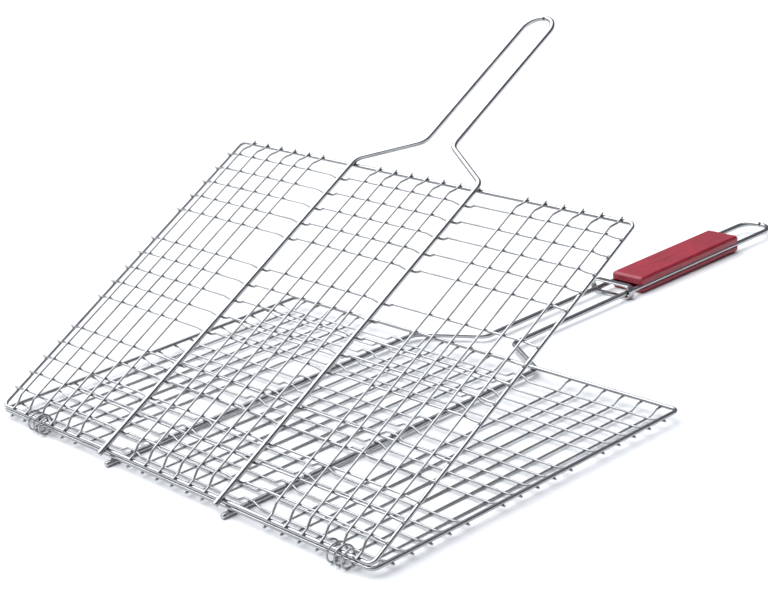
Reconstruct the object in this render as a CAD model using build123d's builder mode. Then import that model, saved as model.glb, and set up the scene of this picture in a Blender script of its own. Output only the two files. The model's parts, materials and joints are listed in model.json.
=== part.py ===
from build123d import *
from math import cos, radians, sin
import os

# A folding wire grill basket, in millimetres.
# The two halves are the same welded grille, one turned over onto the other, with handles of
# different length. X runs along the hinge edge, Y from the hinge edge to the handle, Z is up.
# A half is modelled flat in its own axes: x along its hinge wire, y away from it, and z outward,
# away from the food. Then it is placed in the assembly.

# Driving dimensions
WIDTH = 400.0                 # between the centres of a frame's side wires
DEPTH = 283.0                 # between the centres of its hinge wire and its back wire
FRAME_WIRE = 3.0              # wire diameters
HANDLE_WIRE = 4.1
MESH_WIRE = 1.7
COIL_WIRE = 1.4
FRAME_CORNER = 4.5            # bend radius of the frame's corners
WELD_GAP = 0.02               # between the surfaces of wires that are welded where they cross

BANDS = 3                     # bands of mesh wires, each way
LONG_PER_BAND = 6             # wires of one band that run from the hinge edge to the back edge
LONG_PITCH = 16.4
LONG_BAND_PITCH = 145.6
CROSS_PER_BAND = 5            # wires of one band that run from side to side
CROSS_PITCH = DEPTH / 18
CROSS_BAND_PITCH = 6 * CROSS_PITCH
MESH_SHIFT = 2.75             # the long bands are off the centre line by this much
MESH_DISH = 3.9               # how far out the cross wires lie from the frame's middle plane
MESH_END = 0.3                # mesh wires end this far past the frame wire's outer side
MESH_BEND = 3.0               # bend radius where a mesh wire is stepped
LONG_STEP = (4.0, 11.0)       # where a long wire's step starts and ends, from either edge
CROSS_STEP = (4.5, 11.0)      # the same for a cross wire, from the side wires and the legs

HANDLE_HALF_SPAN = 64.0       # half the distance between a handle wire's two legs on the grille
HANDLE_SHIFT = -2.75          # the legs are off the centre line, so that the two halves' legs miss
HANDLE_STUB = 7.0             # the legs start this far in front of the hinge wire
HANDLE_KNEE = 4.0             # first bend, behind the back wire
HANDLE_NECK = 32.0            # second bend, behind the back wire
HANDLE_HALF_WIDTH = 13.9      # half the distance between the two runs of the handle
HANDLE_BEND = 9.0
LOOP_EASE = 0.01              # the loop's two bends are this much short of meeting
LOWER_HANDLE_END = 648.0      # the wire's centre at the end of its loop, from the hinge wire
UPPER_HANDLE_END = 453.0

FRAME_SPACING = 3.3           # between the two frames' middle planes when the basket is shut
REST_ANGLE = 29.5             # the upper half stands open at rest

COIL_RADIUS = 7.0             # of the wire's centre line
COIL_PITCH = 6.5
COIL_STEPS = 8                # straight runs in one turn
COIL_BEND = 5.6               # bend radius between the runs
COIL_TURNS = 3
COIL_PHASE = 90.0             # a coil starts at its top
LEFT_COIL_START = -161.2      # where the turns pass between the mesh wires of both halves
RIGHT_COIL_START = 162.8

GRIP_START = 466.0
GRIP_LENGTH = 129.0
GRIP_WIDTH = 32.0
GRIP_TOP_THICKNESS = 6.2
GRIP_BASE_THICKNESS = 4.3
GRIP_GROOVE = 0.4             # how deep the handle wire sits in each plate
GRIP_BEVEL = 1.6
GRIP_CORNER = 2.5
SCREW_INSET = 28.0
SCREW_SHANK = 3.36
SCREW_HOLE = 3.8
SCREW_HEAD = 7.4
SCREW_SINK = 0.3              # a screw's head is this far inside the underside
SCREW_GAP = 0.05              # between a screw's head and its countersink
SCREW_BITE = 4.0              # how far a screw goes up into the top plate

RING_Y = 451.0                # middle of the lock ring's strip, slid back near the grip
RING_STRIP_WIDTH = 6.0
RING_STRIP = 1.4
RING_INNER_WIDTH = 39.0
RING_INNER_HEIGHT = 9.2
RING_EASE = 0.02              # its ends are this much short of half round
RING_REST_Z = 0.1             # it hangs down to the surface that the basket lies on

# Levels in a half's own axes, outward from the frame's middle plane
leg_level = (FRAME_WIRE + HANDLE_WIRE) / 2 + WELD_GAP
edge_level = (FRAME_WIRE + MESH_WIRE) / 2 + WELD_GAP
under_leg_level = leg_level - (HANDLE_WIRE + MESH_WIRE) / 2 - WELD_GAP
long_level = MESH_DISH + MESH_WIRE + WELD_GAP
wire_end = FRAME_WIRE / 2 + MESH_END

# Levels in the assembly, from the underside of the grip
handle_z = GRIP_BASE_THICKNESS + HANDLE_WIRE / 2 - GRIP_GROOVE
lower_z = handle_z + leg_level
upper_z = lower_z + FRAME_SPACING

# The origin is in the middle of the whole basket's length, at rest
front_reach = HANDLE_STUB * cos(radians(REST_ANGLE)) + (leg_level + HANDLE_WIRE / 2) * sin(
    radians(REST_ANGLE)
)
back_reach = LOWER_HANDLE_END + HANDLE_WIRE / 2
hinge_y = (front_reach - back_reach) / 2

LOWER_PLACE = Location((0, hinge_y, lower_z), (0, 180, 0))
UPPER_PLACE = Location((0, hinge_y, upper_z), (REST_ANGLE, 0, 0))

os.makedirs("parts", exist_ok=True)


def bent_wire(points, diameter, bend):
    """A round wire along straight runs joined by arcs."""
    with BuildPart() as wire:
        with BuildLine():
            path = FilletPolyline(*points, radius=bend)
        with BuildSketch(Plane(origin=path @ 0, z_dir=path % 0)):
            Circle(diameter / 2)
        sweep(path=path)
    return wire.part


def write_node(label, shape, places):
    """Place one shape, or several copies of it, and write the sub-part."""
    with BuildPart() as node:
        with Locations(*places):
            add(shape)
    node.part.label = label
    export_step(node.part, f"parts/{label}.step")


def frame_wire():
    """The closed rectangle of wire around a half."""
    with BuildPart() as frame:
        with BuildLine():
            outline = FilletPolyline(
                (-WIDTH / 2, 0), (WIDTH / 2, 0), (WIDTH / 2, DEPTH), (-WIDTH / 2, DEPTH),
                radius=FRAME_CORNER, close=True,
            )
        with BuildSketch(Plane(origin=outline @ 0, z_dir=outline % 0)):
            Circle(FRAME_WIRE / 2)
        sweep(path=outline)
    return frame.part


def handle_wire(end):
    """Both legs on the outside of the grille, and the handle, in one length of wire."""
    knee = DEPTH + HANDLE_KNEE
    neck = DEPTH + HANDLE_NECK
    right = [
        (HANDLE_HALF_SPAN, -HANDLE_STUB, leg_level),
        (HANDLE_HALF_SPAN, knee, leg_level),
        (HANDLE_HALF_WIDTH, neck, leg_level),
        (HANDLE_HALF_WIDTH, end, leg_level),
    ]
    left = [(-x, y, z) for x, y, z in reversed(right)]
    loop = HANDLE_HALF_WIDTH - LOOP_EASE
    bends = [HANDLE_BEND, HANDLE_BEND, loop, loop, HANDLE_BEND, HANDLE_BEND]
    return bent_wire(right + left, HANDLE_WIRE, bends)


def long_wire():
    """A mesh wire from the hinge edge to the back edge, stepped up onto both."""
    step_start, step_end = LONG_STEP
    points = [
        (0, -wire_end, edge_level),
        (0, step_start, edge_level),
        (0, step_end, long_level),
        (0, DEPTH - step_end, long_level),
        (0, DEPTH - step_start, edge_level),
        (0, DEPTH + wire_end, edge_level),
    ]
    return bent_wire(points, MESH_WIRE, MESH_BEND)


def cross_wire():
    """A mesh wire from side to side, which dips under both legs of the handle wire."""
    step_start, step_end = CROSS_STEP
    points = [
        (-WIDTH / 2 - wire_end, 0, edge_level),
        (-WIDTH / 2 + step_start, 0, edge_level),
        (-WIDTH / 2 + step_end, 0, MESH_DISH),
    ]
    for leg in (HANDLE_SHIFT - HANDLE_HALF_SPAN, HANDLE_SHIFT + HANDLE_HALF_SPAN):
        points += [
            (leg - step_end, 0, MESH_DISH),
            (leg - step_start, 0, under_leg_level),
            (leg + step_start, 0, under_leg_level),
            (leg + step_end, 0, MESH_DISH),
        ]
    points += [
        (WIDTH / 2 - step_end, 0, MESH_DISH),
        (WIDTH / 2 - step_start, 0, edge_level),
        (WIDTH / 2 + wire_end, 0, edge_level),
    ]
    return bent_wire(points, MESH_WIRE, MESH_BEND)


def centred(count, pitch, middle):
    """Evenly spaced positions about a middle."""
    return [middle + (i - (count - 1) / 2) * pitch for i in range(count)]


def write_half(side, place, handle_end):
    """All the welded wires of one half."""
    write_node(f"{side}_frame", frame_wire(), [place])
    handle_place = place * Location((HANDLE_SHIFT, 0, 0))
    write_node(f"{side}_handle", handle_wire(handle_end), [handle_place])

    long_piece = long_wire()
    for number, middle in enumerate(centred(BANDS, LONG_BAND_PITCH, MESH_SHIFT), start=1):
        wires = centred(LONG_PER_BAND, LONG_PITCH, middle)
        places = [place * Location((x, 0, 0)) for x in wires]
        write_node(f"{side}_long_band_{number}", long_piece, places)

    cross_piece = cross_wire()
    for number, middle in enumerate(centred(BANDS, CROSS_BAND_PITCH, DEPTH / 2), start=1):
        wires = centred(CROSS_PER_BAND, CROSS_PITCH, middle)
        places = [place * Location((0, y, 0)) for y in wires]
        write_node(f"{side}_cross_band_{number}", cross_piece, places)


def hinge_coil(start_x):
    """A loose coil around both hinge wires, in short runs joined by arcs."""
    middle_z = lower_z + FRAME_SPACING / 2
    points = []
    for i in range(COIL_TURNS * COIL_STEPS + 1):
        turn = i / COIL_STEPS
        angle = radians(COIL_PHASE - 360 * turn)
        points.append(
            (
                start_x + COIL_PITCH * turn,
                hinge_y + COIL_RADIUS * cos(angle),
                middle_z + COIL_RADIUS * sin(angle),
            )
        )
    return bent_wire(points, COIL_WIRE, COIL_BEND)


def grip_plate(bottom, thickness, bevelled):
    """One of the two wooden plates on the lower handle: bevelled outside, grooved for the wire."""
    with BuildPart() as plate:
        with BuildSketch(Plane.XY.offset(bottom)):
            with Locations((grip_x, grip_y)):
                RectangleRounded(GRIP_WIDTH, GRIP_LENGTH, GRIP_CORNER)
        extrude(amount=thickness)
        outer_face = plate.faces().sort_by(Axis.Z)[bevelled]
        chamfer(outer_face.edges(), length=GRIP_BEVEL)
        for side_x in (grip_x - HANDLE_HALF_WIDTH, grip_x + HANDLE_HALF_WIDTH):
            with BuildSketch(Plane.XZ.offset(-hinge_y - GRIP_START)):
                with Locations((side_x, handle_z)):
                    Circle(HANDLE_WIRE / 2 + WELD_GAP)
            extrude(amount=-GRIP_LENGTH, mode=Mode.SUBTRACT)
    return plate.part


def grip_screw(y):
    """A countersunk screw, from the underside of the grip up into the top plate."""
    shank = SCREW_SHANK / 2
    head = SCREW_HEAD / 2 - SCREW_SINK - SCREW_GAP
    tip = top_plate_z + SCREW_BITE
    with BuildPart() as screw:
        with BuildSketch(Plane(origin=(grip_x, y, 0), x_dir=(1, 0, 0), z_dir=(0, -1, 0))):
            with BuildLine():
                Polyline(
                    (0, SCREW_SINK), (head, SCREW_SINK), (shank, SCREW_SINK + head - shank),
                    (shank, tip - shank), (0, tip), close=True,
                )
            make_face()
        revolve(axis=Axis((grip_x, y, 0), (0, 0, 1)))
    return screw.part


grip_x = -HANDLE_SHIFT
grip_y = hinge_y + GRIP_START + GRIP_LENGTH / 2
top_plate_z = handle_z + HANDLE_WIRE / 2 - GRIP_GROOVE
screw_ys = [hinge_y + GRIP_START + SCREW_INSET, hinge_y + GRIP_START + GRIP_LENGTH - SCREW_INSET]

write_half("lower", LOWER_PLACE, LOWER_HANDLE_END)
write_half("upper", UPPER_PLACE, UPPER_HANDLE_END)

for coil_side, start_x in (("left", LEFT_COIL_START), ("right", RIGHT_COIL_START)):
    write_node(f"hinge_coil_{coil_side}", hinge_coil(start_x), [Location()])

with BuildPart() as grip_top_plate:
    add(grip_plate(top_plate_z, GRIP_TOP_THICKNESS, -1))
    for y in screw_ys:
        with Locations(Plane(origin=(grip_x, y, top_plate_z), z_dir=(0, 0, -1))):
            Hole(SCREW_SHANK / 2, depth=SCREW_BITE)
grip_top_plate.part.label = "grip_top_plate"
export_step(grip_top_plate.part, "parts/grip_top_plate.step")

with BuildPart() as grip_base_plate:
    add(grip_plate(0, GRIP_BASE_THICKNESS, 0))
    for y in screw_ys:
        with Locations(Plane(origin=(grip_x, y, 0), z_dir=(0, 0, -1))):
            CounterSinkHole(SCREW_HOLE / 2, SCREW_HEAD / 2, counter_sink_angle=90)
grip_base_plate.part.label = "grip_base_plate"
export_step(grip_base_plate.part, "parts/grip_base_plate.step")

for number, y in enumerate(screw_ys, start=1):
    write_node(f"grip_screw_{number}", grip_screw(y), [Location()])

ring_z = RING_REST_Z + RING_STRIP + RING_INNER_HEIGHT / 2
ring_end = RING_INNER_HEIGHT / 2 - RING_EASE
with BuildPart() as lock_ring:
    ring_plane = Plane(
        origin=(0, hinge_y + RING_Y + RING_STRIP_WIDTH / 2, ring_z),
        x_dir=(1, 0, 0), z_dir=(0, -1, 0),
    )
    with BuildSketch(ring_plane):
        RectangleRounded(
            RING_INNER_WIDTH + 2 * RING_STRIP, RING_INNER_HEIGHT + 2 * RING_STRIP,
            ring_end + RING_STRIP,
        )
        RectangleRounded(RING_INNER_WIDTH, RING_INNER_HEIGHT, ring_end, mode=Mode.SUBTRACT)
    extrude(amount=RING_STRIP_WIDTH)
lock_ring.part.label = "lock_ring"
export_step(lock_ring.part, "parts/lock_ring.step")
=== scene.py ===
"""The looks of a folding wire grill basket, built round its CAD frame."""

import json
import math
import random

import bmesh
import bpy
from mathutils import Matrix, Vector, noise


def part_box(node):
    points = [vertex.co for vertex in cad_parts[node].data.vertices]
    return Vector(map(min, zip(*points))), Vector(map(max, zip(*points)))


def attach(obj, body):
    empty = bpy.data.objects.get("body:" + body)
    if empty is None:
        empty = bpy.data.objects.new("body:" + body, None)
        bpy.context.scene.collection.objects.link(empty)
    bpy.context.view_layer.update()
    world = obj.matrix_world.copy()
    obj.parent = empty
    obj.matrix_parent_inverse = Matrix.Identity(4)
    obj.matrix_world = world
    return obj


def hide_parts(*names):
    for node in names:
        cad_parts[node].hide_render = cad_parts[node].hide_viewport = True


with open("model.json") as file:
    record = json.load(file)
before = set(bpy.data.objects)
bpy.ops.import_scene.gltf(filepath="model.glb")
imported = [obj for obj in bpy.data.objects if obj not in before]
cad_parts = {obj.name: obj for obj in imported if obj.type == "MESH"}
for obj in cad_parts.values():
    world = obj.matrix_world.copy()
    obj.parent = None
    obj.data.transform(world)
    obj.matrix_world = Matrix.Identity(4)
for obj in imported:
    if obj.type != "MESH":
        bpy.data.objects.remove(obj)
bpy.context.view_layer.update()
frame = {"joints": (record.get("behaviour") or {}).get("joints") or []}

MM = 0.001

# ---------------------------------------------------------------- places, in metres
hinge = next(j for j in frame["joints"] if j["name"] == "basket_hinge")
HINGE_Y, UPPER_Z = hinge["pos_m"][1], hinge["pos_m"][2]
REST = math.radians(-hinge["range_deg"][0])
frame_low, frame_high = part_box("lower_frame")
LOWER_Z = (frame_low.z + frame_high.z) / 2
FRAME_R = (frame_high.z - frame_low.z) / 2
WIDTH = frame_high.x - frame_low.x - 2 * FRAME_R
DEPTH = frame_high.y - HINGE_Y - FRAME_R
GRIP_LOW, GRIP_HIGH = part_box("grip_base_plate")
TOP_LOW, TOP_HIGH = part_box("grip_top_plate")
RING_LOW, RING_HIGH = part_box("lock_ring")

# The rest of the wires' shape, as in the CAD source
HANDLE_R = 2.05 * MM
MESH_R = 0.85 * MM
COIL_R = 0.7 * MM
GAP = 0.02 * MM
LEG = FRAME_R + HANDLE_R + GAP
EDGE = FRAME_R + MESH_R + GAP
CROSS = 3.9 * MM
LONG = CROSS + 2 * MESH_R + GAP
UNDER_LEG = LEG - HANDLE_R - MESH_R - 2 * GAP
TICK = FRAME_R + 0.3 * MM
FRAME_CORNER = 4.5 * MM
HANDLE_SHIFT = -2.75 * MM
MESH_SHIFT = 2.75 * MM
HALF_SPAN = 64 * MM
HALF_GRIP = 13.9 * MM
HANDLE_STUB = 7 * MM
KNEE_Y, NECK_Y = DEPTH + 4 * MM, DEPTH + 32 * MM
HANDLE_BEND = 9 * MM
LEGS = (HANDLE_SHIFT - HALF_SPAN, HANDLE_SHIFT + HALF_SPAN)

BANDS = (-1, 0, 1)
BAND_PITCH, LONG_PITCH = 145.6, 16.4  # in millimetres
LONG_XS = [
    [MESH_SHIFT + (b * BAND_PITCH + (i - 2.5) * LONG_PITCH) * MM for i in range(6)]
    for b in BANDS
]
CROSS_YS = [[DEPTH / 18 * (9 + b * 6 + i - 2) for i in range(5)] for b in BANDS]

# Where a mesh wire's step starts and ends, from the frame wire or the leg it steps onto
STEP_END = 11 * MM
LONG_STEP_START = 4 * MM
CROSS_STEP_START = 4.5 * MM
LONG_BEND, CROSS_BEND = 6 * MM, 4 * MM
LONGEST_RUN = 12 * MM
LONGEST_MESH_RUN = 10 * MM
WAVER = 0.22 * MM

PLACES = {
    "lower": Matrix.Translation((0, HINGE_Y, LOWER_Z)) @ Matrix.Rotation(math.pi, 4, "Y"),
    "upper": Matrix.Translation((0, HINGE_Y, UPPER_Z)) @ Matrix.Rotation(REST, 4, "X"),
}
HANDLE_ENDS = {"lower": 648 * MM, "upper": 453 * MM}


# ---------------------------------------------------------------- wires
def rounded(points, bends, closed=False):
    """Points along straight runs joined by smooth arcs."""
    points = [Vector(p) for p in points]
    if not hasattr(bends, "__len__"):
        bends = [bends] * len(points)
    path = []
    count = len(points)
    for i, here in enumerate(points):
        if not closed and i in (0, count - 1):
            path.append(here)
            continue
        before = (here - points[i - 1]).normalized()
        after = (points[(i + 1) % count] - here).normalized()
        turn = before.angle(after)
        bend = bends[i]
        if turn < 1e-4:
            path.append(here)
            continue
        inward = (after - before).normalized()
        middle = here + inward * (bend / math.cos(turn / 2))
        steps = max(4, math.ceil(turn / math.radians(9)))
        axis = before.cross(after).normalized()
        start = here - before * bend * math.tan(turn / 2) - middle
        for k in range(steps + 1):
            path.append(middle + Matrix.Rotation(turn * k / steps, 3, axis) @ start)
    return path


def divided(path, longest, closed=False):
    """The same path with no run longer than that."""
    out = []
    pairs = zip(path, path[1:] + path[:1]) if closed else zip(path, path[1:])
    for a, b in pairs:
        parts = max(1, math.ceil((b - a).length / longest))
        out += [a.lerp(b, k / parts) for k in range(parts)]
    if not closed:
        out.append(path[-1])
    return out


class Tubes:
    """Round wires gathered into one mesh, with their length and turn kept as an attribute."""

    def __init__(self):
        self.verts, self.faces, self.along, self.rows = [], [], [], 0

    def add(self, path, radius, sides, place=None, closed=False, swell=None):
        """One wire, sheared off at its ends with a worn edge. swell(distance) scales its radius."""
        if place is not None:
            path = [place @ p for p in path]
        count = len(path)
        tangents = []
        for i in range(count):
            if closed:
                tangents.append((path[(i + 1) % count] - path[i - 1]).normalized())
            else:
                a, b = path[max(0, i - 1)], path[min(count - 1, i + 1)]
                tangents.append((b - a).normalized())
        side = tangents[0].orthogonal().normalized()
        rings, run = [], 0.0
        for i in range(count):
            if i:
                run += (path[i] - path[i - 1]).length
                side = (side - tangents[i] * side.dot(tangents[i])).normalized()
            scale = swell(run) if swell else 1.0
            rings.append((path[i], tangents[i], side.copy(), radius * scale, run))
        if not closed:
            for at, sign in ((0, 1), (-1, -1)):
                p, t, s, r, run_here = rings[at]
                cap = [
                    (p, t, s, r * 0.62, run_here),
                    (p + t * sign * r * 0.05, t, s, r * 0.84, run_here),
                    (p + t * sign * r * 0.2, t, s, r * 0.97, run_here),
                    (p + t * sign * r * 0.45, t, s, r, run_here),
                ]
                if at == 0:
                    rings = cap + rings[1:]
                else:
                    rings = rings[:-1] + cap[::-1]
        first = len(self.verts)
        self.rows += 1
        for p, t, s, r, run_here in rings:
            other = t.cross(s)
            for k in range(sides):
                a = 2 * math.pi * k / sides
                self.verts.append(p + (s * math.cos(a) + other * math.sin(a)) * r)
                self.along.append((run_here, k / sides, self.rows * 0.37))
        total = len(rings)
        for i in range(total if closed else total - 1):
            a, b = first + i * sides, first + ((i + 1) % total) * sides
            shift = 0
            if closed and i == total - 1:
                gaps = [(self.verts[a] - self.verts[b + k]).length for k in range(sides)]
                shift = gaps.index(min(gaps))
            for k in range(sides):
                n = (k + 1) % sides
                self.faces.append(
                    (a + k, a + n, b + (n + shift) % sides, b + (k + shift) % sides)
                )
        if not closed:
            last = first + (total - 1) * sides
            self.faces.append(tuple(range(first + sides - 1, first - 1, -1)))
            self.faces.append(tuple(range(last, last + sides)))

    def build(self, name, material, body, slot, replaced=()):
        mesh = bpy.data.meshes.new(name)
        mesh.from_pydata(self.verts, [], self.faces)
        mesh.update()
        kept = mesh.attributes.new("along", "FLOAT_VECTOR", "POINT")
        kept.data.foreach_set("vector", [c for v in self.along for c in v])
        return finished(name, mesh, material, body, replaced)


def finished(name, mesh, material, body, replaced=()):
    """A mesh as a smooth piece of the object, on its body."""
    bm = bmesh.new()
    bm.from_mesh(mesh)
    bmesh.ops.recalc_face_normals(bm, faces=bm.faces)
    bm.to_mesh(mesh)
    bm.free()
    mesh.polygons.foreach_set("use_smooth", [True] * len(mesh.polygons))
    mesh.materials.append(material)
    piece = bpy.data.objects.new(name, mesh)
    bpy.context.scene.collection.objects.link(piece)
    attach(piece, body)
    if replaced:
        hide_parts(*replaced)
    return piece


# ---------------------------------------------------------------- materials
class Nodes:
    """A short way to write a material's nodes."""

    def __init__(self, name):
        self.material = bpy.data.materials.new(name)
        self.material.use_nodes = True
        self.tree = self.material.node_tree
        self.shader = self.tree.nodes["Principled BSDF"]

    def node(self, kind, inputs=None, **settings):
        made = self.tree.nodes.new(kind)
        for key, value in settings.items():
            setattr(made, key, value)
        for key, value in (inputs or {}).items():
            if isinstance(value, bpy.types.NodeSocket):
                self.tree.links.new(value, made.inputs[key])
            else:
                made.inputs[key].default_value = value
        return made

    def set(self, **inputs):
        for key, value in inputs.items():
            socket = self.shader.inputs[key.replace("_", " ")]
            if isinstance(value, bpy.types.NodeSocket):
                self.tree.links.new(value, socket)
            else:
                socket.default_value = value

    def ramp(self, factor, stops):
        made = self.node("ShaderNodeValToRGB", {"Fac": factor})
        elements = made.color_ramp.elements
        while len(elements) < len(stops):
            elements.new(0.5)
        for element, (position, colour) in zip(elements, stops):
            element.position = position
            element.color = colour if len(colour) == 4 else (*colour, 1)
        return made.outputs["Color"]

    def mix(self, factor, a, b):
        made = self.node("ShaderNodeMix", data_type="RGBA")
        for socket, value in zip(
            (made.inputs[0], made.inputs[6], made.inputs[7]), (factor, a, b)
        ):
            if isinstance(value, bpy.types.NodeSocket):
                self.tree.links.new(value, socket)
            else:
                socket.default_value = value
        return made.outputs[2]

    def math(self, operation, a, b):
        made = self.node("ShaderNodeMath", operation=operation)
        for socket, value in zip(made.inputs, (a, b)):
            if isinstance(value, bpy.types.NodeSocket):
                self.tree.links.new(value, socket)
            else:
                socket.default_value = value
        return made.outputs[0]


def plated_wire(name, tint, rough, wear):
    """Bright plated wire: drawing lines along it, a slightly uneven plating and dull spots."""
    n = Nodes(name)
    along = n.node("ShaderNodeAttribute", attribute_name="along").outputs["Vector"]
    lines = n.node(
        "ShaderNodeMapping", {"Vector": along, "Scale": (14.0, 26.0, 5.0)}
    ).outputs["Vector"]
    drawn = n.node("ShaderNodeTexNoise", {"Vector": lines, "Scale": 1.0, "Detail": 3.0})
    place = n.node("ShaderNodeTexCoord").outputs["Object"]
    cloud = n.node("ShaderNodeTexNoise", {"Vector": place, "Scale": 55.0, "Detail": 4.0})
    specks = n.node("ShaderNodeTexNoise", {"Vector": place, "Scale": 900.0, "Detail": 2.0})
    dull = n.ramp(cloud.outputs["Fac"], [(0.45, (0, 0, 0)), (0.75, (wear, wear, wear))])
    dark = tuple(c * 0.62 for c in tint[:3])
    base = n.mix(dull, (*tint, 1), (*dark, 1))
    streak = n.math("MULTIPLY", drawn.outputs["Fac"], 0.12)
    patchy = n.math("MULTIPLY", cloud.outputs["Fac"], 0.10)
    roughness = n.math("ADD", n.math("ADD", streak, patchy), rough - 0.11)
    height = n.math("ADD", drawn.outputs["Fac"], n.math("MULTIPLY", specks.outputs["Fac"], 0.5))
    bump = n.node(
        "ShaderNodeBump", {"Height": height, "Strength": 0.12, "Distance": 0.00005}
    ).outputs["Normal"]
    n.set(Base_Color=base, Metallic=1.0, Roughness=roughness, Normal=bump)
    return n.material


def weld_metal():
    """The small nuggets where wires are welded: duller weld metal with a rough skin, coloured much
    darker as painted shade of the crevices where the wires cross.
    """
    n = Nodes("weld_metal")
    place = n.node("ShaderNodeTexCoord").outputs["Object"]
    cloud = n.node("ShaderNodeTexNoise", {"Vector": place, "Scale": 260.0, "Detail": 3.0})
    skin = n.node("ShaderNodeTexNoise", {"Vector": place, "Scale": 1500.0, "Detail": 3.0})
    # painted shade: these very dark stops stand in for the shade in the crevices at the wire
    # crossings, on top of the weld's own duller metal
    base = n.ramp(
        cloud.outputs["Fac"],
        [(0.3, (0.06, 0.058, 0.056)), (0.55, (0.12, 0.117, 0.113)), (0.8, (0.22, 0.215, 0.21))],
    )
    bump = n.node(
        "ShaderNodeBump",
        {"Height": skin.outputs["Fac"], "Strength": 0.5, "Distance": 0.0001},
    ).outputs["Normal"]
    rough = n.math("ADD", n.math("MULTIPLY", cloud.outputs["Fac"], 0.3), 0.25)
    n.set(Base_Color=base, Metallic=1.0, Roughness=rough, Normal=bump)
    return n.material


def stained_wood(name, light, deep):
    """Close-grained wood under a red stain and a satin lacquer."""
    n = Nodes(name)
    place = n.node("ShaderNodeTexCoord").outputs["Object"]
    stretched = n.node(
        "ShaderNodeMapping", {"Vector": place, "Scale": (1.0, 0.045, 1.0)}
    ).outputs["Vector"]
    rings = n.node(
        "ShaderNodeTexNoise",
        {"Vector": stretched, "Scale": 420.0, "Detail": 6.0, "Distortion": 0.6},
    )
    pores = n.node(
        "ShaderNodeTexNoise", {"Vector": stretched, "Scale": 2600.0, "Detail": 2.0}
    )
    cloud = n.node("ShaderNodeTexNoise", {"Vector": place, "Scale": 28.0, "Detail": 3.0})
    grain = n.ramp(
        rings.outputs["Fac"],
        [(0.28, (*deep, 1)), (0.5, (*light, 1)), (0.78, (*[c * 0.82 for c in light], 1))],
    )
    streaks = n.ramp(pores.outputs["Fac"], [(0.33, (0, 0, 0)), (0.46, (1, 1, 1))])
    dark = tuple(c * 0.55 for c in deep)
    base = n.mix(streaks, (*dark, 1), grain)
    uneven = n.ramp(cloud.outputs["Fac"], [(0.3, (0.80, 0.80, 0.80)), (0.7, (1, 1, 1))])
    made = n.node("ShaderNodeMix", data_type="RGBA", blend_type="MULTIPLY")
    made.inputs[0].default_value = 1.0
    n.tree.links.new(base, made.inputs[6])
    n.tree.links.new(uneven, made.inputs[7])
    rough = n.math("ADD", n.math("MULTIPLY", rings.outputs["Fac"], 0.22), 0.26)
    height = n.math(
        "ADD", n.math("MULTIPLY", rings.outputs["Fac"], 0.5), pores.outputs["Fac"]
    )
    bump = n.node(
        "ShaderNodeBump", {"Height": height, "Strength": 0.35, "Distance": 0.00018}
    ).outputs["Normal"]
    n.set(
        Base_Color=made.outputs[2], Roughness=rough, Normal=bump,
        Coat_Weight=0.10, Coat_Roughness=0.22,
    )
    return n.material


def floor_material():
    """A plain pale sweep of paper."""
    n = Nodes("pale_floor")
    place = n.node("ShaderNodeTexCoord").outputs["Object"]
    fibre = n.node("ShaderNodeTexNoise", {"Vector": place, "Scale": 6.0, "Detail": 2.0})
    base = n.ramp(
        fibre.outputs["Fac"], [(0.3, (0.86, 0.868, 0.88)), (0.7, (0.875, 0.88, 0.89))]
    )
    n.set(Base_Color=base, Roughness=0.75)
    n.shader.inputs["Specular IOR Level"].default_value = 0.2
    return n.material


FRAME_STEEL = plated_wire("frame_chrome", (0.40, 0.405, 0.41), 0.20, 0.5)
HANDLE_STEEL = plated_wire("handle_chrome", (0.43, 0.435, 0.44), 0.17, 0.4)
MESH_STEEL = plated_wire("mesh_chrome", (0.40, 0.405, 0.41), 0.24, 0.7)
COIL_STEEL = plated_wire("coil_chrome", (0.38, 0.385, 0.39), 0.20, 0.5)
# weld nuggets: duller weld metal, coloured darker still as painted shade at the wire crossings
WELD = weld_metal()

# ---------------------------------------------------------------- the two halves
random.seed(7)


def wander(path, amount, seed):
    """Nearly straight: a wire's own slow bend, which fades out at both ends."""
    total = (path[-1] - path[0]).length
    out = []
    for p in path:
        share = (p - path[0]).length / total
        hold = min(1.0, 8 * share * (1 - share))
        spot = Vector((p.x * 12, p.y * 12, seed * 9.7))
        sway = Vector((noise.noise(spot), noise.noise(spot + Vector((50, 0, 0))), 0))
        out.append(p + sway * amount * hold)
    return out


def frame_path():
    corners = [
        (-WIDTH / 2, 0, 0), (WIDTH / 2, 0, 0), (WIDTH / 2, DEPTH, 0), (-WIDTH / 2, DEPTH, 0),
    ]
    return divided(rounded(corners, FRAME_CORNER, closed=True), LONGEST_RUN, closed=True)


def handle_path(end):
    right = [
        (HALF_SPAN, -HANDLE_STUB, LEG), (HALF_SPAN, KNEE_Y, LEG),
        (HALF_GRIP, NECK_Y, LEG), (HALF_GRIP, end, LEG),
    ]
    left = [(-x, y, z) for x, y, z in reversed(right)]
    bend, loop = HANDLE_BEND, HALF_GRIP - 0.01 * MM
    path = rounded(right + left, [0, bend, bend, loop, loop, bend, bend, 0])
    return [p + Vector((HANDLE_SHIFT, 0, 0)) for p in divided(path, LONGEST_RUN)]


def long_path(x):
    """A mesh wire from the hinge edge to the back edge, with a soft step onto both."""
    points = [
        (x, -TICK, EDGE), (x, LONG_STEP_START, EDGE), (x, STEP_END, LONG),
        (x, DEPTH - STEP_END, LONG), (x, DEPTH - LONG_STEP_START, EDGE),
        (x, DEPTH + TICK, EDGE),
    ]
    return divided(rounded(points, LONG_BEND), LONGEST_MESH_RUN)


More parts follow.
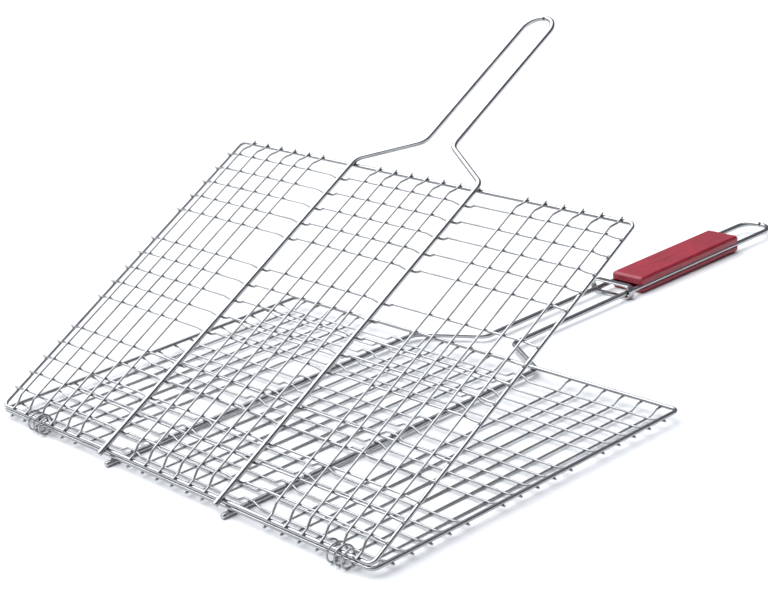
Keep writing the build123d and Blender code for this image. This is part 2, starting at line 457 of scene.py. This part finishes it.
def cross_path(y):
    """A mesh wire from side to side, which dips under both legs."""
    start, end = CROSS_STEP_START, STEP_END
    points = [
        (-WIDTH / 2 - TICK, y, EDGE), (-WIDTH / 2 + start, y, EDGE), (-WIDTH / 2 + end, y, CROSS),
    ]
    for leg in LEGS:
        points += [
            (leg - end, y, CROSS), (leg - start, y, UNDER_LEG),
            (leg + start, y, UNDER_LEG), (leg + end, y, CROSS),
        ]
    points += [
        (WIDTH / 2 - end, y, CROSS), (WIDTH / 2 - start, y, EDGE), (WIDTH / 2 + TICK, y, EDGE),
    ]
    return divided(rounded(points, CROSS_BEND), LONGEST_MESH_RUN)


# Half sizes of the welded lumps: mesh on mesh, mesh on frame, mesh on leg and leg on frame
SMALL_WELD = (0.85 * MM, 0.85 * MM, 0.42 * MM)
EDGE_WELD = (0.85 * MM, 0.85 * MM, 0.5 * MM)
LEG_WELD = (1.4 * MM, 1.1 * MM, 0.5 * MM)
FRAME_WELD = (2.1 * MM, 1.8 * MM, 0.8 * MM)
BUTT_WELD_AT = 150 * MM  # along the frame's wire


class Nuggets:
    """Small welded lumps between crossing wires, gathered into one mesh."""

    def __init__(self):
        self.bm = bmesh.new()

    def add(self, at, size, place):
        made = bmesh.ops.create_icosphere(self.bm, subdivisions=2, radius=1.0)
        seed = random.uniform(0, 90)
        for v in made["verts"]:
            spread = max(abs(v.co.x), abs(v.co.y))
            lump = 1 + 0.10 * noise.noise(v.co * 1.7 + Vector((seed, 0, 0)))
            # four short toes, one along each wire's side
            toe = 0.86 + 0.22 * spread**3
            v.co = Vector(
                (v.co.x * size[0] * toe, v.co.y * size[1] * toe, v.co.z * size[2])
            ) * lump + Vector(at)
        bmesh.ops.transform(self.bm, matrix=place, verts=made["verts"])

    def build(self, name, body, slot):
        mesh = bpy.data.meshes.new(name)
        self.bm.to_mesh(mesh)
        self.bm.free()
        return finished(name, mesh, WELD, body)


def build_half(side):
    place, body = PLACES[side], side + "_half"

    def swell(run):
        """The butt weld that closes the frame, part way along its hinge wire."""
        gap = abs(run - BUTT_WELD_AT)
        return 1 + 0.10 * math.exp(-((gap / (1.6 * MM)) ** 2))

    tubes = Tubes()
    tubes.add(frame_path(), FRAME_R, 20, place, closed=True, swell=swell)
    tubes.build(side + "_frame_wire", FRAME_STEEL, body, "frame_steel", [side + "_frame"])

    tubes = Tubes()
    tubes.add(handle_path(HANDLE_ENDS[side]), HANDLE_R, 24, place)
    tubes.build(side + "_handle_wire", HANDLE_STEEL, body, "handle_steel", [side + "_handle"])

    for band, xs in enumerate(LONG_XS, start=1):
        tubes = Tubes()
        for x in xs:
            path = wander(long_path(x), WAVER, x / MM)
            tubes.add(path, MESH_R, 12, place)
        node = f"{side}_long_band_{band}"
        tubes.build(node + "_wires", MESH_STEEL, body, "mesh_steel", [node])
    for band, ys in enumerate(CROSS_YS, start=1):
        tubes = Tubes()
        for y in ys:
            tubes.add(wander(cross_path(y), WAVER, y / MM), MESH_R, 12, place)
        node = f"{side}_cross_band_{band}"
        tubes.build(node + "_wires", MESH_STEEL, body, "mesh_steel", [node])

    welds = Nuggets()
    for x in (x for band in LONG_XS for x in band):
        for y in (y for band in CROSS_YS for y in band):
            welds.add((x, y, (CROSS + LONG) / 2), SMALL_WELD, place)
        for y in (0, DEPTH):
            welds.add((x, y, FRAME_R), EDGE_WELD, place)
    for y in (y for band in CROSS_YS for y in band):
        for x in (-WIDTH / 2, WIDTH / 2):
            welds.add((x, y, FRAME_R), EDGE_WELD, place)
        for x in LEGS:
            welds.add((x, y, LEG - HANDLE_R), LEG_WELD, place)
    for x in LEGS:
        for y in (0, DEPTH):
            welds.add((x, y, FRAME_R), FRAME_WELD, place)
    welds.build(side + "_welds", body, "mesh_steel")


build_half("lower")
build_half("upper")


# ---------------------------------------------------------------- hinge coils
COIL_TURNS, COIL_STEPS, COIL_PITCH = 3, 40, 6.5 * MM
COIL_RADIUS, COIL_TUCK = 6.8, 0.4  # in millimetres: its radius, and how far its ends tuck in
COIL_STARTS = {"left": -161.2 * MM, "right": 162.8 * MM}


def coil_path(start_x):
    """Three loose turns round both hinge wires, with the ends turned in a little."""
    middle = LOWER_Z + (UPPER_Z - LOWER_Z) / 2
    steps = COIL_STEPS * COIL_TURNS
    path = []
    for k in range(steps + 1):
        turn = COIL_TURNS * k / steps
        angle = math.radians(90 - 360 * turn)
        near_end = min(turn, COIL_TURNS - turn)
        radius = (COIL_RADIUS - COIL_TUCK * math.exp(-near_end * 9)) * MM
        path.append(
            Vector((start_x + COIL_PITCH * turn, HINGE_Y + radius * math.cos(angle),
                    middle + radius * math.sin(angle)))
        )
    return path


for coil_side, start in COIL_STARTS.items():
    tubes = Tubes()
    tubes.add(coil_path(start), COIL_R, 12)
    node = "hinge_coil_" + coil_side
    tubes.build(node + "_wire", COIL_STEEL, "lower_half", "coil_steel", [node])

# ---------------------------------------------------------------- grip
PLATE_CORNER, PLATE_BEVEL, WORN = 2.5 * MM, 1.6 * MM, 0.5 * MM
RED_WOOD = stained_wood("red_stained_wood", (0.36, 0.009, 0.032), (0.22, 0.004, 0.016))
SCREW_STEEL = plated_wire("screw_steel", (0.62, 0.62, 0.63), 0.32, 0.8)


def round_outline(low, high, inset, corner, steps=8):
    """A rounded rectangle's points, anticlockwise."""
    corner = max(corner - inset, 0.35 * MM)
    points = []
    corners = [
        (high.x - inset - corner, low.y + inset + corner, -90),
        (high.x - inset - corner, high.y - inset - corner, 0),
        (low.x + inset + corner, high.y - inset - corner, 90),
        (low.x + inset + corner, low.y + inset + corner, 180),
    ]
    for x, y, start in corners:
        for k in range(steps + 1):
            a = math.radians(start + 90 * k / steps)
            points.append((x + corner * math.cos(a), y + corner * math.sin(a)))
    return points


def plate_mesh(name, low, high, outer_up):
    """A plate of the grip: sawn inner face, straight sides, and a worn bevel on its outer face."""
    thick = high.z - low.z
    bevel, worn = PLATE_BEVEL, WORN
    profile = [
        (0.5 * MM, 0.0), (0.22 * MM, 0.06 * MM), (0.06 * MM, 0.22 * MM), (0.0, 0.5 * MM),
    ]
    for share in (0.33, 0.66, 1.0):
        profile.append((0.0, 0.5 * MM + (thick - bevel - worn - 0.5 * MM) * share))
    profile += [
        (0.05 * MM, thick - bevel - worn * 0.35),
        (0.20 * MM, thick - bevel + worn * 0.1),
        (0.42 * MM, thick - bevel + worn * 0.62),
        (bevel - 0.62 * MM, thick - 0.62 * MM),
        (bevel - 0.25 * MM, thick - 0.27 * MM),
        (bevel + 0.08 * MM, thick - 0.07 * MM),
        (bevel + 0.45 * MM, thick),
        (bevel + 0.9 * MM, thick),
    ]
    bm = bmesh.new()
    rings = []
    for inset, rise in profile:
        z = low.z + rise if outer_up else high.z - rise
        outline = round_outline(low, high, inset, PLATE_CORNER)
        rings.append([bm.verts.new((x, y, z)) for x, y in outline])
    for a, b in zip(rings, rings[1:]):
        for k in range(len(a)):
            n = (k + 1) % len(a)
            bm.faces.new((a[k], a[n], b[n], b[k]))
    bm.faces.new(rings[0])
    bm.faces.new(rings[-1])
    bmesh.ops.recalc_face_normals(bm, faces=bm.faces)
    mesh = bpy.data.meshes.new(name)
    bm.to_mesh(mesh)
    bm.free()
    return mesh


def turned(profile, x, y, steps=40):
    """A closed shape turned about the vertical through (x, y), from (radius, height) points."""
    bm = bmesh.new()
    rings = []
    for radius, z in profile:
        if radius == 0:
            rings.append([bm.verts.new((x, y, z))])
        else:
            rings.append([
                bm.verts.new((x + radius * math.cos(2 * math.pi * k / steps),
                              y + radius * math.sin(2 * math.pi * k / steps), z))
                for k in range(steps)
            ])
    for a, b in zip(rings, rings[1:]):
        for k in range(steps):
            n = (k + 1) % steps
            corner = [a[k % len(a)], a[n % len(a)], b[n % len(b)], b[k % len(b)]]
            unique = list(dict.fromkeys(corner))
            if len(unique) > 2:
                bm.faces.new(unique)
    bmesh.ops.recalc_face_normals(bm, faces=bm.faces)
    mesh = bpy.data.meshes.new("turned")
    bm.to_mesh(mesh)
    bm.free()
    return mesh


def cut(mesh, cutters):
    """The mesh less the cutters."""
    scene = bpy.context.scene
    whole = bpy.data.objects.new("whole", mesh)
    scene.collection.objects.link(whole)
    tools = []
    for cutter in cutters:
        tool = bpy.data.objects.new("tool", cutter)
        scene.collection.objects.link(tool)
        tools.append(tool)
        step = whole.modifiers.new("cut", "BOOLEAN")
        step.operation, step.solver, step.object = "DIFFERENCE", "EXACT", tool
    bpy.context.view_layer.update()
    result = bpy.data.meshes.new_from_object(
        whole.evaluated_get(bpy.context.evaluated_depsgraph_get())
    )
    for thing in [whole, *tools]:
        bpy.data.objects.remove(thing)
    return result


def flat_shaded(piece, angle=32):
    """Smooth only across gentle edges."""
    piece.data.set_sharp_from_angle(angle=math.radians(angle))


def grooves(low, high):
    """The two channels that the handle wire lies in."""
    tools = []
    for side in (-1, 1):
        x, z = -HANDLE_SHIFT + side * HALF_GRIP, LOWER_Z - LEG
        tubes = Tubes()
        ends = [Vector((x, low.y - 1 * MM, z)), Vector((x, high.y + 1 * MM, z))]
        tubes.add(ends, HANDLE_R + GAP, 32)
        mesh = bpy.data.meshes.new("groove")
        mesh.from_pydata(tubes.verts, [], tubes.faces)
        bm = bmesh.new()
        bm.from_mesh(mesh)
        bmesh.ops.recalc_face_normals(bm, faces=bm.faces)
        bm.to_mesh(mesh)
        bm.free()
        tools.append(mesh)
    return tools


def screw_place(number):
    """A screw's axis, its low and high ends, and its head's radius."""
    low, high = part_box(f"grip_screw_{number}")
    return (low.x + high.x) / 2, (low.y + high.y) / 2, low.z, high.z, (high.x - low.x) / 2


SCREW_NUMBERS = (1, 2)
SHANK, BORE = 1.68 * MM, 1.9 * MM
THREAD_PITCH, THREAD_ROOT = 0.9 * MM, 0.82


def screw_sink(number):
    """The sunk hole for a screw in the base plate."""
    x, y, _, _, head = screw_place(number)
    top = GRIP_HIGH.z + 1 * MM
    profile = [
        (0, -1 * MM), (head + 1.4 * MM, -1 * MM), (BORE, head - 1.55 * MM), (BORE, top), (0, top),
    ]
    return turned(profile, x, y)


def cross_slot(x, y, low_z, turn):
    """One of the two slots of a screw's cross, narrower towards its bottom."""
    bm = bmesh.new()
    bmesh.ops.create_cube(bm, size=1.0)
    for v in bm.verts:
        low_end = v.co.z < 0
        v.co.x *= (4.1 if low_end else 1.3) * MM
        v.co.y *= (0.85 if low_end else 0.6) * MM
        v.co.z = low_z + (-0.3 * MM if low_end else 1.7 * MM)
    place = Matrix.Translation((x, y, 0)) @ Matrix.Rotation(math.radians(turn), 4, "Z")
    bmesh.ops.transform(bm, matrix=place, verts=bm.verts)
    slot = bpy.data.meshes.new("slot")
    bm.to_mesh(slot)
    bm.free()
    return slot


def build_screw(number):
    """A countersunk wood screw with ridges for its thread."""
    x, y, low_z, high_z, head = screw_place(number)
    neck_z = low_z + head - SHANK
    profile = [
        (0, low_z), (head - 0.15 * MM, low_z), (head, low_z + 0.12 * MM),
        (SHANK + 0.25 * MM, neck_z), (SHANK, neck_z + 0.4 * MM),
    ]
    z = neck_z + 1.4 * MM
    while z < high_z - 2.4 * MM:
        root = SHANK * THREAD_ROOT
        profile += [(root, z), (SHANK, z + 0.35 * MM), (root, z + 0.7 * MM)]
        z += THREAD_PITCH
    profile += [(SHANK * 0.5, high_z - 0.9 * MM), (0, high_z)]
    slots = [cross_slot(x, y, low_z, turn + 25 * number) for turn in (0, 90)]
    node = f"grip_screw_{number}"
    piece = finished(
        node + "_turned", cut(turned(profile, x, y), slots), SCREW_STEEL, "lower_half",
        [node],
    )
    flat_shaded(piece)


base_cuts = grooves(GRIP_LOW, GRIP_HIGH) + [screw_sink(number) for number in SCREW_NUMBERS]
base = cut(plate_mesh("grip_base_wood", GRIP_LOW, GRIP_HIGH, False), base_cuts)
piece = finished("grip_base_wood", base, RED_WOOD, "lower_half", ["grip_base_plate"])
flat_shaded(piece)
top = cut(plate_mesh("grip_top_wood", TOP_LOW, TOP_HIGH, True), grooves(TOP_LOW, TOP_HIGH))
piece = finished("grip_top_wood", top, RED_WOOD, "lower_half", ["grip_top_plate"])
flat_shaded(piece)
for number in SCREW_NUMBERS:
    build_screw(number)


# ---------------------------------------------------------------- lock ring
RING_EASE, RING_THICK, RING_CORNER = 0.35 * MM, 1.4 * MM, 5.95 * MM


def ring_outline(low, high, inset, steps=10):
    """The ring's outline across the handle, in x and z."""
    r = RING_CORNER - inset
    points = []
    corners = [
        (high.x - inset - r, low.z + inset + r, -90), (high.x - inset - r, high.z - inset - r, 0),
        (low.x + inset + r, high.z - inset - r, 90), (low.x + inset + r, low.z + inset + r, 180),
    ]
    for x, z, start in corners:
        for k in range(steps + 1):
            a = math.radians(start + 90 * k / steps)
            points.append((x + r * math.cos(a), z + r * math.sin(a)))
    return points


def build_ring():
    """A flat strip bent into a long closed loop, with eased edges."""
    low, high = RING_LOW, RING_HIGH
    ease, thick, nick, middle = RING_EASE, RING_THICK, 0.10 * MM, (low.y + high.y) / 2
    section = [
        (0.0, low.y + ease), (0.0, middle), (0.0, high.y - ease), (nick, high.y - nick),
        (ease, high.y), (thick - ease, high.y), (thick - nick, high.y - nick),
        (thick, high.y - ease), (thick, middle), (thick, low.y + ease),
        (thick - nick, low.y + nick), (thick - ease, low.y), (ease, low.y), (nick, low.y + nick),
    ]
    bm = bmesh.new()
    rings = [
        [bm.verts.new((x, y, z)) for x, z in ring_outline(low, high, inset)]
        for inset, y in section
    ]
    for a, b in zip(rings, rings[1:] + rings[:1]):
        for k in range(len(a)):
            n = (k + 1) % len(a)
            bm.faces.new((a[k], a[n], b[n], b[k]))
    mesh = bpy.data.meshes.new("lock_ring_strip")
    bm.to_mesh(mesh)
    bm.free()
    return mesh


RING_STEEL = plated_wire("ring_chrome", (0.48, 0.48, 0.49), 0.18, 0.5)
piece = finished("lock_ring_strip", build_ring(), RING_STEEL, "ring", ["lock_ring"])
flat_shaded(piece, 50)

# ---------------------------------------------------------------- floor, light and camera
# It stands on the front ends of the lower legs and on the underside of the grip.
front = Vector((0, HINGE_Y - HANDLE_STUB, LOWER_Z - LEG - HANDLE_R))
back = Vector((0, GRIP_LOW.y, 0))
slope = math.atan2(back.z - front.z, back.y - front.y)
FLOOR_DROP = 0.05 * MM

floor_mesh = bpy.data.meshes.new("floor")
bm = bmesh.new()
bmesh.ops.create_grid(bm, x_segments=8, y_segments=8, size=30.0)
bm.to_mesh(floor_mesh)
bm.free()
floor = bpy.data.objects.new("floor", floor_mesh)
floor_mesh.materials.append(floor_material())
bpy.context.scene.collection.objects.link(floor)
floor.matrix_world = (
    Matrix.Translation(front + Vector((0, 0, -FLOOR_DROP))) @ Matrix.Rotation(slope, 4, "X")
)

# A weak sun for the soft shadows under the wires
sun_data = bpy.data.lights.new("soft_sun", "SUN")
sun_data.energy, sun_data.angle = 0.5, math.radians(80)
sun = bpy.data.objects.new("soft_sun", sun_data)
bpy.context.scene.collection.objects.link(sun)
sun.rotation_mode = "QUATERNION"
sun.rotation_quaternion = Vector((0.30, 0.02, -1)).to_track_quat("-Z", "Y")

# A dark studio with one broad soft light high on the left
world = bpy.data.worlds.new("studio")
bpy.context.scene.world = world
world.use_nodes = True
tree = world.node_tree
sky = tree.nodes["Background"]
direction = tree.nodes.new("ShaderNodeTexCoord")
facing = tree.nodes.new("ShaderNodeVectorMath")
facing.operation = "DOT_PRODUCT"
facing.inputs[1].default_value = Vector((-0.45, -0.15, 0.88)).normalized()
fade = tree.nodes.new("ShaderNodeValToRGB")
tree.links.new(direction.outputs["Generated"], facing.inputs[0])
tree.links.new(facing.outputs["Value"], fade.inputs["Fac"])
tree.links.new(fade.outputs["Color"], sky.inputs["Color"])
stops = [
    (0.0, (0.050, 0.052, 0.058, 1)), (0.50, (0.06, 0.062, 0.068, 1)),
    (0.66, (0.16, 0.165, 0.175, 1)), (0.86, (0.95, 0.97, 1.0, 1)),
]
while len(fade.color_ramp.elements) < len(stops):
    fade.color_ramp.elements.new(0.5)
for element, (position, colour) in zip(fade.color_ramp.elements, stops):
    element.position, element.color = position, colour
sky.inputs["Strength"].default_value = 3.4

# The photograph's camera
AZIMUTH, ELEVATION, ROLL = math.radians(48.686), math.radians(19.729), math.radians(-5.268)
DISTANCE, TARGET = 1.519146, Vector((-0.152063, 0.016893, 0.000025))
FOCAL_SHARE = 1821.72 / 768

toward = Vector((
    math.sin(AZIMUTH) * math.cos(ELEVATION), -math.cos(AZIMUTH) * math.cos(ELEVATION),
    math.sin(ELEVATION),
))
right = Vector((0, 0, 1)).cross(toward).normalized()
up = toward.cross(right)
right, up = (
    right * math.cos(ROLL) + up * math.sin(ROLL),
    up * math.cos(ROLL) - right * math.sin(ROLL),
)
camera_data = bpy.data.cameras.new("camera")
camera = bpy.data.objects.new("camera", camera_data)
bpy.context.scene.collection.objects.link(camera)
camera.matrix_world = Matrix.Translation(TARGET + toward * DISTANCE) @ Matrix(
    (right, up, toward)
).transposed().to_4x4()
camera_data.sensor_width = 36
camera_data.lens = 36 * FOCAL_SHARE
camera_data.clip_start, camera_data.clip_end = 0.05, 80
camera_data.dof.use_dof = False
bpy.context.scene.camera = camera
bpy.context.scene.view_settings.view_transform = "Standard"
